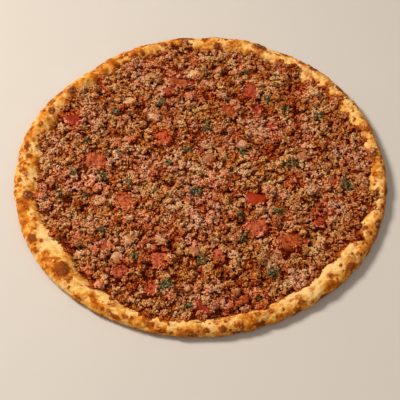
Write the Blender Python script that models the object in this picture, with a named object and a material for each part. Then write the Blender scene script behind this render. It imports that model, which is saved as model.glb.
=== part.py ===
"""Lahmacun: a thin round flatbread with a puffed rim, under browned mince with tomato and onion set in it.

Units are metres and +Z is up. The origin is the centre of the bread's flat underside, and -Y is the side
nearest the eater. Angles run in degrees from +X towards +Y, as seen from above.
"""

import math

import bmesh
import bpy
from mathutils import Matrix, Vector, noise

# Driving dimensions
BREAD_RADIUS = 0.150
RIM_HEIGHT = 0.0105
RIM_WIDTH = 0.0135
FLOOR_THICKNESS = 0.0035
MEAT_TOP = 0.0086
FIT_GAP = 0.0003  # clear space between a piece and its neighbour
SLANT = 1.4  # how much more room a slanting face gets, so that the gap holds square to it

TURN_STEPS = 120  # facets round the circle
MERGE_DISTANCE = 1e-6
SHARP_ANGLE = math.radians(45)  # edges sharper than this stay crisp in the shading

# The rim's section, from its foot outside, over the crest, to the floor inside.
# Each point is (share of the rim's width in from the edge, share of the rim's height).
RIM_SECTION = (
    (0.40, 0.00),
    (0.18, 0.06),
    (0.04, 0.24),
    (0.00, 0.45),
    (0.04, 0.67),
    (0.16, 0.87),
    (0.34, 0.98),
    (0.54, 1.00),
    (0.74, 0.91),
    (0.92, 0.70),
    (1.03, 0.50),
)
SLOPE_REACH = 1.15  # where the inner slope meets the floor, as a share of the rim's width

# Where the hand-stretched edge strays from a true circle: angle, extra radius, spread in degrees
OUTLINE_SWELLS = ((135, -0.0032, 17), (45, 0.0014, 18), (222, 0.0012, 16), (298, -0.0020, 22))

# Where the rim swells towards the middle: angle, extra width, spread in degrees
RIM_SWELLS = (
    (180, 0.0050, 24),
    (213, 0.0132, 9),
    (232, 0.0038, 11),
    (45, 0.0036, 14),
    (22, 0.0015, 8),
    (320, 0.0062, 8),
    (302, 0.0020, 9),
    (337, 0.0018, 5),
    (347, -0.0030, 6),
    (120, 0.0016, 9),
    (150, 0.0018, 9),
)

# Where a large bubble lifts the rim: angle, extra height, spread in degrees
RIM_BUBBLES = ((190, 0.0012, 4), (208, 0.0010, 5), (221, 0.0020, 5), (322, 0.0010, 4), (84, 0.0010, 4))

# The rim's slow waves in height: waves round the circle, height, phase
RIM_WAVES = ((5, 0.0005, 0.6), (9, 0.0004, 2.1), (17, 0.0003, 4.0))

# Rings across the top of the mince, as shares of its radius, and the size of its lumps
MEAT_RINGS = (0.975, 0.93, 0.85, 0.74, 0.62, 0.5, 0.38, 0.26, 0.13)
LUMPS = ((38.0, 0.0007), (95.0, 0.0008))  # lumps per metre, height

# Tomato pieces: x, y, length, width, height, turn in degrees
TOMATOES = (
    (0.0437, -0.0288, 0.0150, 0.0100, 0.0052, -8),
    (0.0452, -0.0555, 0.0130, 0.0120, 0.0048, 20),
    (0.0704, -0.0683, 0.0170, 0.0110, 0.0050, 28),
    (-0.0853, 0.0107, 0.0165, 0.0110, 0.0048, 4),
    (-0.0608, -0.0299, 0.0125, 0.0120, 0.0050, 55),
    (-0.0303, 0.0337, 0.0095, 0.0120, 0.0052, 32),
    (-0.0309, -0.0853, 0.0110, 0.0130, 0.0046, 15),
    (0.0235, 0.0629, 0.0105, 0.0088, 0.0050, -20),
    (-0.0149, 0.0949, 0.0185, 0.0085, 0.0046, -6),
    (0.0416, 0.0853, 0.0105, 0.0145, 0.0048, -14),
    (-0.1056, 0.0533, 0.0100, 0.0105, 0.0050, 40),
    (0.0030, -0.1290, 0.0115, 0.0072, 0.0046, -10),
    (-0.0597, -0.0960, 0.0112, 0.0088, 0.0050, 35),
    (-0.0262, 0.0858, 0.0088, 0.0068, 0.0046, 12),
    (-0.0384, -0.1120, 0.0090, 0.0086, 0.0046, -25),
    (0.0299, -0.1215, 0.0090, 0.0064, 0.0046, 8),
    (0.0475, 0.0640, 0.0090, 0.0078, 0.0048, 50),
    (0.0928, -0.0501, 0.0080, 0.0098, 0.0048, -18),
    (-0.0750, -0.0752, 0.0082, 0.0074, 0.0046, 30),
    (0.0128, -0.0811, 0.0082, 0.0076, 0.0046, -40),
    (0.1056, -0.0107, 0.0080, 0.0074, 0.0046, 65),
)

# Onion pieces, in the same form
ONIONS = (
    (-0.0608, 0.0747, 0.0100, 0.0085, 0.0046, 25),
    (-0.0405, 0.0576, 0.0100, 0.0075, 0.0044, -15),
    (0.0063, 0.0125, 0.0105, 0.0080, 0.0044, 20),
    (-0.0560, -0.0660, 0.0072, 0.0090, 0.0046, 12),
    (-0.0064, 0.1056, 0.0082, 0.0080, 0.0046, -30),
    (-0.0640, -0.0832, 0.0080, 0.0068, 0.0044, 60),
    (-0.0053, -0.0768, 0.0088, 0.0070, 0.0044, -12),
    (0.0572, -0.0380, 0.0080, 0.0066, 0.0044, 35),
    (-0.0437, 0.1035, 0.0080, 0.0064, 0.0044, 10),
    (0.0340, 0.0277, 0.0080, 0.0064, 0.0044, -35),
    (0.0830, 0.0150, 0.0078, 0.0070, 0.0044, 22),
)
PIECE_BOTTOM = 0.0052  # a set-in piece's lower face lies in the depth of the mince
PIECE_BEVEL = 0.0012
STROKE_LEAN = Vector((0.55, 0.55, 0.35))  # how far a diced piece's faces lean, as slopes
LEAN_LUMPS = 1.7  # how quickly that lean changes from face to face
SEED_STEP = Vector((0.0, 0.0, 3.1))  # moves each piece to its own place in the noise
NOISE_SEED = 5
FIRST_SEED = {"tomato": 0, "onion": 40}

# Finishes: colour and roughness
FINISHES = {
    "baked_dough": ((0.72, 0.42, 0.15), 0.65),
    "browned_mince": ((0.28, 0.11, 0.045), 0.5),
    "tomato": ((0.50, 0.07, 0.02), 0.3),
    "onion": ((0.68, 0.42, 0.22), 0.35),
}


def clear_scene():
    for old in list(bpy.data.objects):
        bpy.data.objects.remove(old, do_unlink=True)


def food_material(name):
    colour, roughness = FINISHES[name]
    material = bpy.data.materials.new(name)
    material.use_nodes = True
    shader = material.node_tree.nodes["Principled BSDF"]
    shader.inputs["Base Color"].default_value = (*colour, 1.0)
    shader.inputs["Roughness"].default_value = roughness
    shader.inputs["Metallic"].default_value = 0.0
    return material


def add_object(name, body, material):
    """Turns a bmesh into a named, smooth-shaded object."""
    bmesh.ops.recalc_face_normals(body, faces=body.faces)
    mesh = bpy.data.meshes.new(name)
    body.to_mesh(mesh)
    body.free()
    mesh.materials.append(material)
    mesh.shade_smooth()
    mesh.set_sharp_from_angle(angle=SHARP_ANGLE)
    made = bpy.data.objects.new(name, mesh)
    bpy.context.scene.collection.objects.link(made)
    return made


def swell(angle, swells):
    """The sum of smooth humps at an angle in degrees."""
    total = 0.0
    for centre, size, spread in swells:
        away = (angle - centre + 180.0) % 360.0 - 180.0
        total += size * math.exp(-((away / spread) ** 2))
    return total


def rim_height(angle):
    waves = sum(size * math.sin(count * math.radians(angle) + phase) for count, size, phase in RIM_WAVES)
    return RIM_HEIGHT + waves + swell(angle, RIM_BUBBLES)


def rim_outline(angle):
    """The rim's section at an angle: points of (radius, height) from its outer foot to the bread's floor."""
    outer = BREAD_RADIUS + swell(angle, OUTLINE_SWELLS)
    width = RIM_WIDTH + swell(angle, RIM_SWELLS)
    height = rim_height(angle)
    outline = [(outer - across * width, share * height) for across, share in RIM_SECTION]
    outline.append((outer - SLOPE_REACH * width, FLOOR_THICKNESS))
    return outline


def meat_height(x, y):
    lumps = sum(height * noise.noise(Vector((x, y, height)) * count) for count, height in LUMPS)
    return MEAT_TOP + lumps


def meat_outline(angle):
    """The mince's section at an angle: up the rim's inner slope, a gap off it, and in over the top."""
    slope = reversed(rim_outline(angle)[-3:])
    outline = [(radius - SLANT * FIT_GAP, height + FIT_GAP) for radius, height in slope]
    edge = outline[-1][0]
    turn = math.radians(angle)
    for ring in MEAT_RINGS:
        radius = ring * edge
        outline.append((radius, meat_height(radius * math.cos(turn), radius * math.sin(turn))))
    return outline


def turned(outline_at, top_height):
    """A closed body whose section changes as it turns.

    It is spun as a plain drum with one row of points for each point of the section. Then every row takes the
    radius and height that the section has at its angle.
    """
    rows = len(outline_at(0.0))
    bottom_height = outline_at(0.0)[0][1]
    body = bmesh.new()
    corners = [body.verts.new((0.0 if row in (0, rows + 1) else 1.0, 0.0, row)) for row in range(rows + 2)]
    edges = [body.edges.new(pair) for pair in zip(corners, corners[1:])]
    bmesh.ops.spin(
        body,
        geom=corners + edges,
        cent=(0, 0, 0),
        axis=(0, 0, 1),
        angle=math.tau,
        steps=TURN_STEPS,
        use_merge=True,
    )
    bmesh.ops.remove_doubles(body, verts=body.verts, dist=MERGE_DISTANCE)
    for corner in body.verts:
        row = round(corner.co.z)
        if row in (0, rows + 1):
            corner.co.z = bottom_height if row == 0 else top_height
            continue
        turn = math.atan2(corner.co.y, corner.co.x)
        radius, height = outline_at(math.degrees(turn))[row - 1]
        corner.co = (radius * math.cos(turn), radius * math.sin(turn), height)
    return body


def diced_piece(seed, length, width, height, extra):
    """A convex block cut by six slightly leaning strokes, with its edges taken off.

    The extra moves every stroke outwards.
    """
    body = bmesh.new()
    bmesh.ops.create_cube(body, size=2 * (length + width))
    for axis, size in enumerate((length, width, height)):
        for side in (-1.0, 1.0):
            outward = Vector((0.0, 0.0, 0.0))
            outward[axis] = side
            lean = noise.noise_vector(outward * LEAN_LUMPS + seed * SEED_STEP) * STROKE_LEAN
            if outward.z < 0.0:
                lean = Vector()
            outward = (outward + lean).normalized()
            point = outward * (size / 2 + extra)
            slice_off(body, point, outward)
    bmesh.ops.bevel(
        body,
        geom=list(body.edges),
        offset=PIECE_BEVEL,
        segments=1,
        profile=0.5,
        affect="EDGES",
        material=-1,
    )
    return body


def slice_off(body, point, outward):
    """Removes what lies beyond a plane and closes the cut."""
    parts = list(body.verts) + list(body.edges) + list(body.faces)
    cut = bmesh.ops.bisect_plane(body, geom=parts, plane_co=point, plane_no=outward, clear_outer=True)
    outline = [part for part in cut["geom_cut"] if isinstance(part, bmesh.types.BMEdge)]
    bmesh.ops.contextual_create(body, geom=outline)


def set_in(body, x, y, height, turn):
    place = Matrix.Translation((x, y, PIECE_BOTTOM + height / 2))
    spin = Matrix.Rotation(math.radians(turn), 4, "Z")
    bmesh.ops.transform(body, matrix=place @ spin, verts=body.verts)
    return body


def make_pieces(kind, rows):
    """Every diced piece of one kind as its own object. Returns the cutters for their places in the mince."""
    material = food_material(kind)
    cutters = []
    for number, (x, y, length, width, height, turn) in enumerate(rows, start=1):
        name = f"{kind}_{number:02d}"
        seed = FIRST_SEED[kind] + number
        body = diced_piece(seed, length, width, height, 0.0)
        add_object(name, set_in(body, x, y, height, turn), material)
        room = diced_piece(seed, length, width, height, SLANT * FIT_GAP)
        cutter = add_object(f"{name}_room", set_in(room, x, y, height, turn), material)
        cutter.hide_render = True
        cutter.display_type = "WIRE"
        cutters.append(cutter)
    return cutters


def open_places(meat, cutters):
    for cutter in cutters:
        cut = meat.modifiers.new(f"place_for_{cutter.name}", "BOOLEAN")
        cut.operation = "DIFFERENCE"
        cut.solver = "EXACT"
        cut.object = cutter


def build():
    clear_scene()
    noise.seed_set(NOISE_SEED)
    add_object("bread", turned(rim_outline, FLOOR_THICKNESS), food_material("baked_dough"))
    layer = turned(meat_outline, meat_height(0.0, 0.0))
    meat = add_object("meat_layer", layer, food_material("browned_mince"))
    open_places(meat, make_pieces("tomato", TOMATOES) + make_pieces("onion", ONIONS))


build()
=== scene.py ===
# Lahmacun: a blistered flatbread under a thick layer of browned mince, tomato, onion and parsley
import math
import bmesh
import bpy
import numpy as np
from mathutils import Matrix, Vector, geometry, noise
from mathutils.bvhtree import BVHTree


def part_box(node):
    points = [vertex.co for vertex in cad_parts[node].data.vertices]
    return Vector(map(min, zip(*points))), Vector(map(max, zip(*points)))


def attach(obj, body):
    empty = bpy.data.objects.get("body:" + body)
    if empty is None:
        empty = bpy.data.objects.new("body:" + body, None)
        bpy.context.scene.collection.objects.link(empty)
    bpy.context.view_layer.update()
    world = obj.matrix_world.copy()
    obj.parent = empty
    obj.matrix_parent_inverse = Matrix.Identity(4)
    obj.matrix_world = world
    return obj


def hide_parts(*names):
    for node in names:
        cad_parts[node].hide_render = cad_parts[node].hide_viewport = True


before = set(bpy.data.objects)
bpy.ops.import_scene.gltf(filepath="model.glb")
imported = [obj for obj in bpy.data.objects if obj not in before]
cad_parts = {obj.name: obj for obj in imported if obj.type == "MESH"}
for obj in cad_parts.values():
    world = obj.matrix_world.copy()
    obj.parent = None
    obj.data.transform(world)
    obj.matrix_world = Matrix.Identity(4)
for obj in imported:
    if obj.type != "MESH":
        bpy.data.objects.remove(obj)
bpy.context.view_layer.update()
scene = bpy.context.scene
mm = 0.001
print("frame loaded:", len(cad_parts), "nodes")


class Wire:
    # wraps one output socket, so that sums on values read as plain maths
    def __init__(self, tree, socket=None):
        self.tree = tree
        self.socket = socket

    def node(self, kind, settings, sockets, output=0):
        # any node: its type, its settings, then a value or a wire for each socket it takes
        made = self.tree.nodes.new(kind)
        for name, value in settings.items():
            if name == "stops":
                ramp = made.color_ramp
                while len(ramp.elements) < len(value):
                    ramp.elements.new(1.0)
                for stop, (place, colour) in zip(ramp.elements, value):
                    stop.position = place
                    stop.color = (*colour, 1.0)
            else:
                setattr(made, name, value)
        for name, value in sockets.items():
            entry = made.inputs[name]
            if isinstance(value, Wire):
                self.tree.links.new(value.socket, entry)
            else:
                entry.default_value = value
        return Wire(self.tree, made.outputs[output])

    def maths(self, operation, first, second=0):
        return self.node("ShaderNodeMath", {"operation": operation}, {0: first, 1: second})

    def __add__(self, other):
        return self.maths("ADD", self, other)

    def __sub__(self, other):
        return self.maths("SUBTRACT", self, other)

    def __rsub__(self, other):
        return self.maths("SUBTRACT", other, self)

    def __mul__(self, other):
        return self.maths("MULTIPLY", self, other)

    __radd__ = __add__
    __rmul__ = __mul__

    def between(self, low, high):
        # 0 below low, 1 above high, smooth between
        return self.node("ShaderNodeMapRange", {"interpolation_type": "SMOOTHSTEP"},
                         {"Value": self, "From Min": low, "From Max": high})

    def mix(self, first, second):
        # first where this wire is 0, second where it is 1
        pair = [(*colour, 1.0) if isinstance(colour, tuple) else colour for colour in (first, second)]
        return self.node("ShaderNodeMix", {"data_type": "RGBA", "clamp_factor": True},
                         {0: self, 6: pair[0], 7: pair[1]}, output=2)

    def ramp(self, stops):
        # a colour for each level of this wire, from stops of level and colour
        return self.node("ShaderNodeValToRGB", {"stops": stops}, {"Fac": self})

    def shade(self, colour):
        # the colour, brighter or darker by this wire
        return self.node("ShaderNodeVectorMath", {"operation": "SCALE"}, {0: colour, "Scale": self})

    def tinted(self, colour):
        # this colour times another, red by red and so on
        return self.node("ShaderNodeVectorMath", {"operation": "MULTIPLY"}, {0: self, 1: colour})

    def value(self, name):
        # a value that the mesh carries at each point
        return self.node("ShaderNodeAttribute", {"attribute_name": name}, {}, output=2)

    def values(self, *names):
        return [self.value(name) for name in names]

    def spots(self, scale, detail):
        # soft noise about 0.5, with scale in lumps per metre
        place = self.node("ShaderNodeTexCoord", {}, {}, output=3)
        return self.node("ShaderNodeTexNoise", {"noise_dimensions": "3D"},
                         {"Vector": place, "Scale": scale, "Detail": detail, "Roughness": 0.55})

    def swing(self, size):
        # noise about 0.5 made into noise about 0
        return (self - 0.5) * size

    def bump(self, height, distance, strength):
        given = {"Height": height, "Distance": distance, "Strength": strength}
        return self.node("ShaderNodeBump", {}, given)


def newMaterial(name, fixed):
    # a Principled material with its even values set; returns it, its shader node and a wire to build from
    material = bpy.data.materials.new(name)
    material.use_nodes = True
    shader = material.node_tree.nodes["Principled BSDF"]
    for socket, value in fixed.items():
        shader.inputs[socket].default_value = value
    return material, shader, Wire(material.node_tree)


def plug(shader, **wires):
    # Base_Color=wire and so on, onto the shader's sockets
    for name, wire in wires.items():
        shader.id_data.links.new(wire.socket, shader.inputs[name.replace("_", " ")])


view = {
    "elevation": 54,  # degrees above the table
    "distance": 0.9,
    "target": (-0.0004, -0.02255, 0),
    "lens": 100.95,  # on a 36 mm sensor
}

studio = {
    "floorRadius": 8,
    "floorDrop": 0.2 * mm,  # how far the floor lies under the bread
    "floorColour": (0.57, 0.53, 0.485),
    "skyColour": (1, 0.9, 0.79),
    "skyStrength": 0.3,
    "key": {"azimuth": 160, "elevation": 50, "distance": 1.55, "size": 0.5, "power": 27.5,
            "colour": (1, 0.93, 0.845)},
    "fill": {"azimuth": 300, "elevation": 55, "distance": 1.6, "size": 1.4, "power": 4,
             "colour": (1, 0.95, 0.9)},
}


def addObject(name, data):
    made = bpy.data.objects.new(name, data)
    scene.collection.objects.link(made)
    return made


def toMesh(name, body):
    mesh = bpy.data.meshes.new(name)
    body.to_mesh(mesh)
    body.free()
    return mesh


def onSphere(azimuth, elevation, distance):
    # a point at that distance; azimuth runs from +X towards +Y
    turn, lift = math.radians(azimuth), math.radians(elevation)
    level = math.cos(lift)
    return Vector((math.cos(turn) * level, math.sin(turn) * level, math.sin(lift))) * distance


def makeCamera():
    data = bpy.data.cameras.new("camera")
    data.lens = view["lens"]
    data.clip_start = 0.01
    camera = addObject("camera", data)
    camera.location = Vector(view["target"]) + onSphere(-90, view["elevation"], view["distance"])
    camera.rotation_euler = (math.radians(90 - view["elevation"]), 0, 0)
    scene.camera = camera


def makeLight(name, given):
    data = bpy.data.lights.new(name, "AREA")
    data.shape = "DISK"
    data.size = given["size"]
    data.energy = given["power"]
    data.color = given["colour"]
    light = addObject(name, data)
    light.location = onSphere(given["azimuth"], given["elevation"], given["distance"])
    light.rotation_euler = (-light.location).to_track_quat("-Z", "Y").to_euler()


def makeStudio():
    body = bmesh.new()
    bmesh.ops.create_circle(body, cap_ends=True, segments=96, radius=studio["floorRadius"])
    mesh = toMesh("floor", body)
    floor = addObject("floor", mesh)
    floor.location.z = -studio["floorDrop"]
    material, shader, wire = newMaterial("paleFloor", {"Roughness": 0.7, "Specular IOR Level": 0.25})
    tone = wire.spots(7, 5)
    plug(shader, Base_Color=(tone * 0.06 + 0.97).shade(studio["floorColour"]))
    mesh.materials.append(material)
    world = bpy.data.worlds.new("studio")
    world.use_nodes = True
    back = world.node_tree.nodes["Background"]
    back.inputs["Color"].default_value = (*studio["skyColour"], 1.0)
    back.inputs["Strength"].default_value = studio["skyStrength"]
    scene.world = world
    makeLight("key", studio["key"])
    makeLight("fill", studio["fill"])
    scene.view_settings.view_transform = "Standard"


makeCamera()
makeStudio()
print("camera, floor and lights")


# the rim, as the frame has it
rimShape = {
    "turns": 120,  # sections that the frame's bread was turned with
    "floor": 3.5 * mm,  # thickness of the bread under the mince
    "slopeReach": 1.15,  # where the inner slope meets that floor, in rim widths
    "waves": 44,  # terms kept of the outline
    # the section, outside to inside: share of the rim's width, share of its height
    "section": [(0.4, 0), (0.18, 0.05), (0.04, 0.24), (0, 0.45), (0.04, 0.67), (0.16, 0.87),
                (0.34, 0.98), (0.54, 1), (0.74, 0.91), (0.92, 0.7), (1.03, 0.5), (1.15, 0.33)],
}
fineTurns = np.linspace(-math.pi, math.pi, 2880, endpoint=False)


def smoothRound(samples, angles):
    # even samples round a circle, read at any angle as a short sum of waves
    terms = np.fft.rfft(samples) / len(samples)
    total = np.full(len(angles), terms[0].real)
    for count in range(1, rimShape["waves"]):
        total += 2 * (terms[count] * np.exp(1j * count * angles)).real
    return total


def readRim():
    # the rim's outer radius, width and height, all round, measured on the frame's bread
    turns = rimShape["turns"]
    places = np.array([corner.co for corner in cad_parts["bread"].data.vertices])
    radius = np.hypot(places[:, 0], places[:, 1])
    turn = np.round(np.arctan2(places[:, 1], places[:, 0]) / (2 * math.pi / turns)).astype(int) % turns
    onFloor = (abs(places[:, 2] - rimShape["floor"]) < 0.01 * mm) & (radius > 0.08)
    outer = np.array([radius[turn == step].max() for step in range(turns)])
    height = np.array([places[turn == step, 2].max() for step in range(turns)])
    slopeFoot = np.array([radius[(turn == step) & onFloor].max() for step in range(turns)])
    width = (outer - slopeFoot) / rimShape["slopeReach"]
    return [smoothRound(samples, fineTurns) for samples in (outer, width, height)]


rimOuter, rimWidth, rimHeight = readRim()


def around(values, angle):
    return np.interp(angle, fineTurns, values, period=2 * math.pi)


def smoothThrough(points, cuts):
    # a Catmull-Rom curve through a few points
    knots = np.array([points[0], *points, points[-1]])
    share = np.arange(cuts)[:, None] / cuts
    curve = []
    for a, b, c, d in zip(knots, knots[1:], knots[2:], knots[3:]):
        bend = 2 * a - 5 * b + 4 * c - d + share * (3 * (b - c) + d - a)
        curve.append(b + 0.5 * share * (c - a + share * bend))
    return np.vstack([*curve, knots[-1:]])


rimCurve = smoothThrough(rimShape["section"], 4)
rimTop = rimCurve[rimCurve[:, 0].argmin():]  # from the widest point outside, over the crest, to the floor


def rimPoint(angle, across):
    # a point on the rim's upper side
    height = np.interp(across, rimTop[:, 0], rimTop[:, 1])
    radius = around(rimOuter, angle) - across * around(rimWidth, angle)
    return np.array([radius * np.cos(angle), radius * np.sin(angle), height * around(rimHeight, angle)])


print("rim measured:", len(rimCurve), "rows")


def noiseAt(places, lumps, shift=0):
    # soft noise from -1 to 1 at each place
    offset = Vector((shift, 0.7 * shift, 0.3 * shift))
    return np.array([noise.noise(Vector(place) * lumps + offset) for place in places])


def domes(places, lumps):
    # packed round tops, from 0 to 1, with creases between them
    near = np.array([noise.voronoi(Vector(place) * lumps)[0][0] for place in places])
    return np.sqrt(np.clip(1 - (near / 0.75) ** 2, 0, 1))


def smoothStep(low, high, value):
    share = np.clip((value - low) / (high - low), 0, 1)
    return share * share * (3 - 2 * share)


def graded(value, most, low, high):
    # 0 at low, most at high
    return most * smoothStep(low, high, value)


def swells(angle, marks):
    # the largest of a few smooth swells round the rim: angle in degrees, size, half width in degrees
    total = np.zeros(len(angle))
    for degrees, size, spread in marks:
        away = (np.degrees(angle) - degrees + 180) % 360 - 180
        total = np.maximum(total, size * np.exp(-(away / spread) ** 2))
    return total


# where the mince ends
spill = {
    "bare": 0.42,  # share of the rim's width that always stays free of mince
    "in": 1 * mm,  # how far the mince stops short of the rim's foot
    "ragged": [(5 * mm, 62), (4.6 * mm, 150), (2.4 * mm, 400)],  # how far its edge strays, lumps per metre
    # tongues of mince that come up over the rim: angle in degrees, reach in mm, half width in degrees
    "tongues": [
        (5, 4.5, 2.2), (13, 3.5, 2), (18, 2, 2), (33.5, 7, 2.2), (40, 6.5, 2.2), (46.5, 4.5, 2.6),
        (53.5, 5.5, 2.4), (60, 4.5, 2.2), (71, 4, 2), (84, 4.5, 1.5), (95, 4.5, 1.5), (100, 4.5, 1.4),
        (114, 3, 1.8), (122.5, 3, 2.6), (142, 1.5, 1.8), (153, 2.5, 2.2), (165, 4, 3.2),
        (189, 2.5, 3), (202, 5.5, 3), (212, 7, 5), (232, 3, 4), (254, 2.5, 2.4),
        (260, 2.5, 2.4), (266, 3, 1.4), (291, 3, 1.8), (299, 3, 1.8), (306, 3, 2.2),
        (322.5, 4.5, 2.6), (332, 5.5, 2.2), (345, 5.5, 2.6), (349.5, 5.5, 1.8), (358, 3.5, 1.8)],
}


def minceEdge(angle):
    # how far out the mince reaches
    edge = around(rimOuter, angle) - around(rimWidth, angle) - spill["in"]
    rim = np.column_stack([0.13 * np.cos(angle), 0.13 * np.sin(angle), 0 * angle])
    for size, lumps in spill["ragged"]:
        edge = edge + size * noiseAt(rim, lumps, 31)
    tongue = mm * swells(angle, spill["tongues"])
    return np.minimum(edge + tongue, around(rimOuter, angle) - spill["bare"] * around(rimWidth, angle))


minceReach = minceEdge(fineTurns)


crust = {
    "steps": 192,  # sections turned, each then cut into this many more
    "cuts": 7,
    # rows under the bread and on its floor: share of the floor's radius, share of its thickness
    "under": [(0, 0), (0.45, 0), (0.8, 0)],
    "inside": [(0.9, 1), (0.5, 1), (0, 1)],
    "strips": 6,  # the map holds the rim as this many strips
    "bubbles": [(88, 1.3), (205, 0.65)],  # round tops with creases between: lumps per metre, mm
    "humps": [(60, 0.55), (150, 0.4), (420, 0.34), (850, 0.2)],
    "wrinkles": (620, 0.4),  # on the scorched blisters
    "paintedShadeSide": 320,  # degrees: the side turned from the key light, whose outer edge is painted darker as shade
    # small browned marks: how many, seed, radius in mm, how dark
    "specks": (170, 4, (0.6, 1.6), (0.35, 0.85)),
    "faintSpots": (300, 9, (1.2, 3.6), (0.15, 0.5)),
    # blisters and scorch marks: angle in degrees, radius, half length round the rim, half width, lift
    # (all mm) and how dark, from 0 to 1
    "blisters": [
        (1, 148, 2.6, 2, 0.3, 0.6), (5, 139, 3, 2.4, 0.5, 0.5), (10, 149.6, 7, 1.5, 0.1, 0.6),
        (17, 144, 3.6, 4.4, 0.6, 0.5), (26, 138, 1.6, 1.4, 0.3, 0.6), (33, 137.5, 3.2, 4.2, 0.8, 0.8),
        (35.5, 148.4, 6.5, 2.6, 0.2, 0.95), (39, 138, 3.4, 2.8, 0.7, 0.7), (46, 149, 5, 1.6, 0.2, 0.55),
        (48.5, 148, 4, 2.8, 0.3, 0.9), (53, 136.6, 4.4, 3.6, 0.7, 0.75), (58, 137, 3.8, 2.6, 0.5, 0.6),
        (60, 147.4, 4, 1.8, 0.3, 0.5), (69, 145.4, 5.2, 3.2, 0.6, 0.92), (71, 138.4, 2.6, 2.2, 0.4, 0.5),
        (84, 138.6, 3, 3.4, 0.8, 0.75), (88.5, 145, 3, 3.4, 0.4, 0.6), (95, 137.8, 2.8, 2.4, 0.4, 0.5),
        (95.5, 146.8, 9, 2.2, 0.2, 0.7), (99.5, 138, 2.6, 3.2, 0.5, 0.6),
        (103, 142.5, 3.2, 2.8, 0.5, 0.45), (111.5, 138.8, 3, 2.6, 0.5, 0.6),
        (114.5, 138, 3.2, 3.4, 0.9, 0.9), (117, 142.6, 2.6, 2.2, 0.5, 0.65),
        (122.5, 136, 3.4, 3.4, 0.6, 0.5), (126, 145.5, 3.6, 1.6, 0.2, 0.5),
        (142, 138.4, 3.6, 3.4, 1, 0.95), (151, 146.5, 2.4, 1.6, 0.3, 0.5),
        (153.5, 139.6, 3.2, 3, 0.8, 0.85), (160.5, 141, 2.8, 2.4, 0.5, 0.5),
        (170, 144.6, 4, 2.8, 0.6, 0.65), (174, 140.6, 3.2, 2.8, 0.5, 0.6),
        (184, 145.5, 3.4, 2.4, 0.4, 0.5), (190.6, 138.4, 5.2, 4.6, 1.4, 0.85),
        (195, 141.6, 3.6, 2.6, 0.4, 0.4), (200.5, 138.2, 3.4, 2.4, 0.4, 0.45),
        (207, 146.2, 4.6, 4, 1.2, 0.66), (214, 137.5, 9, 4.5, 1, 0),
        (215.5, 147, 2.6, 2.2, 0.4, 0.45), (222.6, 142.4, 7.8, 6.6, 2, 0.62),
        (226, 144, 3.6, 3, 0.6, 0.5), (232, 149.4, 4.2, 1.8, 0.3, 0.5), (237, 146, 3, 2.4, 0.4, 0.4),
        (245, 149, 5, 2, 0.3, 0.5), (255.5, 146.6, 3.2, 2.6, 0.5, 0.6),
        (259, 149.2, 4.4, 1.8, 0.2, 0.65), (267.5, 149.6, 4, 1.8, 0.2, 0.75),
        (271.5, 147, 2.6, 2.2, 0.4, 0.5), (276.5, 147, 3.2, 2.6, 0.5, 0.6),
        (281, 149.6, 5, 2, 0.3, 0.9), (287.5, 147.8, 3.6, 2.6, 0.5, 0.76),
        (299, 149.2, 5, 2.2, 0.3, 0.75), (301.5, 144.6, 3, 2.4, 0.5, 0.5),
        (308.5, 149, 5, 2.4, 0.3, 0.8), (316.5, 150, 5, 1.4, 0.1, 0.5),
        (321.5, 146.6, 4.6, 3.4, 0.8, 0.64), (329, 150, 6, 1.6, 0.2, 0.65),
        (331, 138.4, 2.6, 2.4, 0.4, 0.6), (339.5, 148.2, 4.4, 2.6, 0.5, 0.9),
        (346, 147.4, 2.8, 1.8, 0.3, 0.5), (353, 149.4, 5, 2, 0.3, 0.85),
        (358, 140.4, 2.8, 2.4, 0.5, 0.5)],
    # pale stretches of dough beside the mince: angle in degrees, strength, half width in degrees
    "paleDough": [
        (14, 0.6, 7), (24, 0.5, 5), (52, 0.9, 8), (64, 0.6, 6), (82, 0.4, 5), (106, 0.5, 7), (150, 0.6, 9),
        (166, 0.5, 6), (210, 1, 7), (233, 0.5, 5), (245, 0.5, 9), (262, 0.5, 7), (275, 0.4, 6),
        (306, 0.8, 12), (318, 0.8, 7), (346, 0.6, 7), (354, 0.6, 5)],
    "doughColours": [(0, (0.86, 0.55, 0.2)), (0.3, (0.8, 0.42, 0.092)), (0.6, (0.66, 0.235, 0.026)),
                     (1, (0.38, 0.09, 0.005))],  # from pale to toasted
    "paleColour": (0.87, 0.6, 0.26),
    "oiledColour": (0.38, 0.085, 0.007),
    # each step of scorching: where it starts, where it is full, colour
    "scorchColours": [(-0.05, 0.48, (0.46, 0.108, 0.007)), (0.2, 0.64, (0.19, 0.031, 0.002)),
                      (0.48, 0.92, (0.065, 0.012, 0.002))],
    "fleckHighlightColour": (0.45, 0.205, 0.085),
    "undersideColour": (0.44, 0.18, 0.05),
}


def turnedDrum(rows, steps, cuts):
    # a closed drum whose rows of points then take the places of a section: row 0 and the last are its poles
    body = bmesh.new()
    corners = [body.verts.new((0 if row in (0, rows - 1) else 1, 0, row)) for row in range(rows)]
    edges = [body.edges.new(pair) for pair in zip(corners, corners[1:])]
    bmesh.ops.spin(body, geom=corners + edges, cent=(0, 0, 0), axis=(0, 0, 1), angle=math.tau, steps=steps,
                   use_merge=True)
    poles = [corner for corner in body.verts if corner.co.xy.length < 0.5]
    bmesh.ops.remove_doubles(body, verts=poles, dist=0.01)
    ringEdges = [edge for edge in body.edges if abs(edge.verts[0].co.z - edge.verts[1].co.z) < 0.5]
    bmesh.ops.subdivide_edges(body, edges=ringEdges, cuts=cuts, use_grid_fill=False)
    bmesh.ops.recalc_face_normals(body, faces=body.faces)
    return body


def readAll(items, name, kind=np.float32, width=1):
    values = np.empty(len(items) * width, kind)
    items.foreach_get(name, values)
    return values


def placesOf(mesh):
    return readAll(mesh.vertices, "co", width=3).reshape(-1, 3).astype(float)


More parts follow.
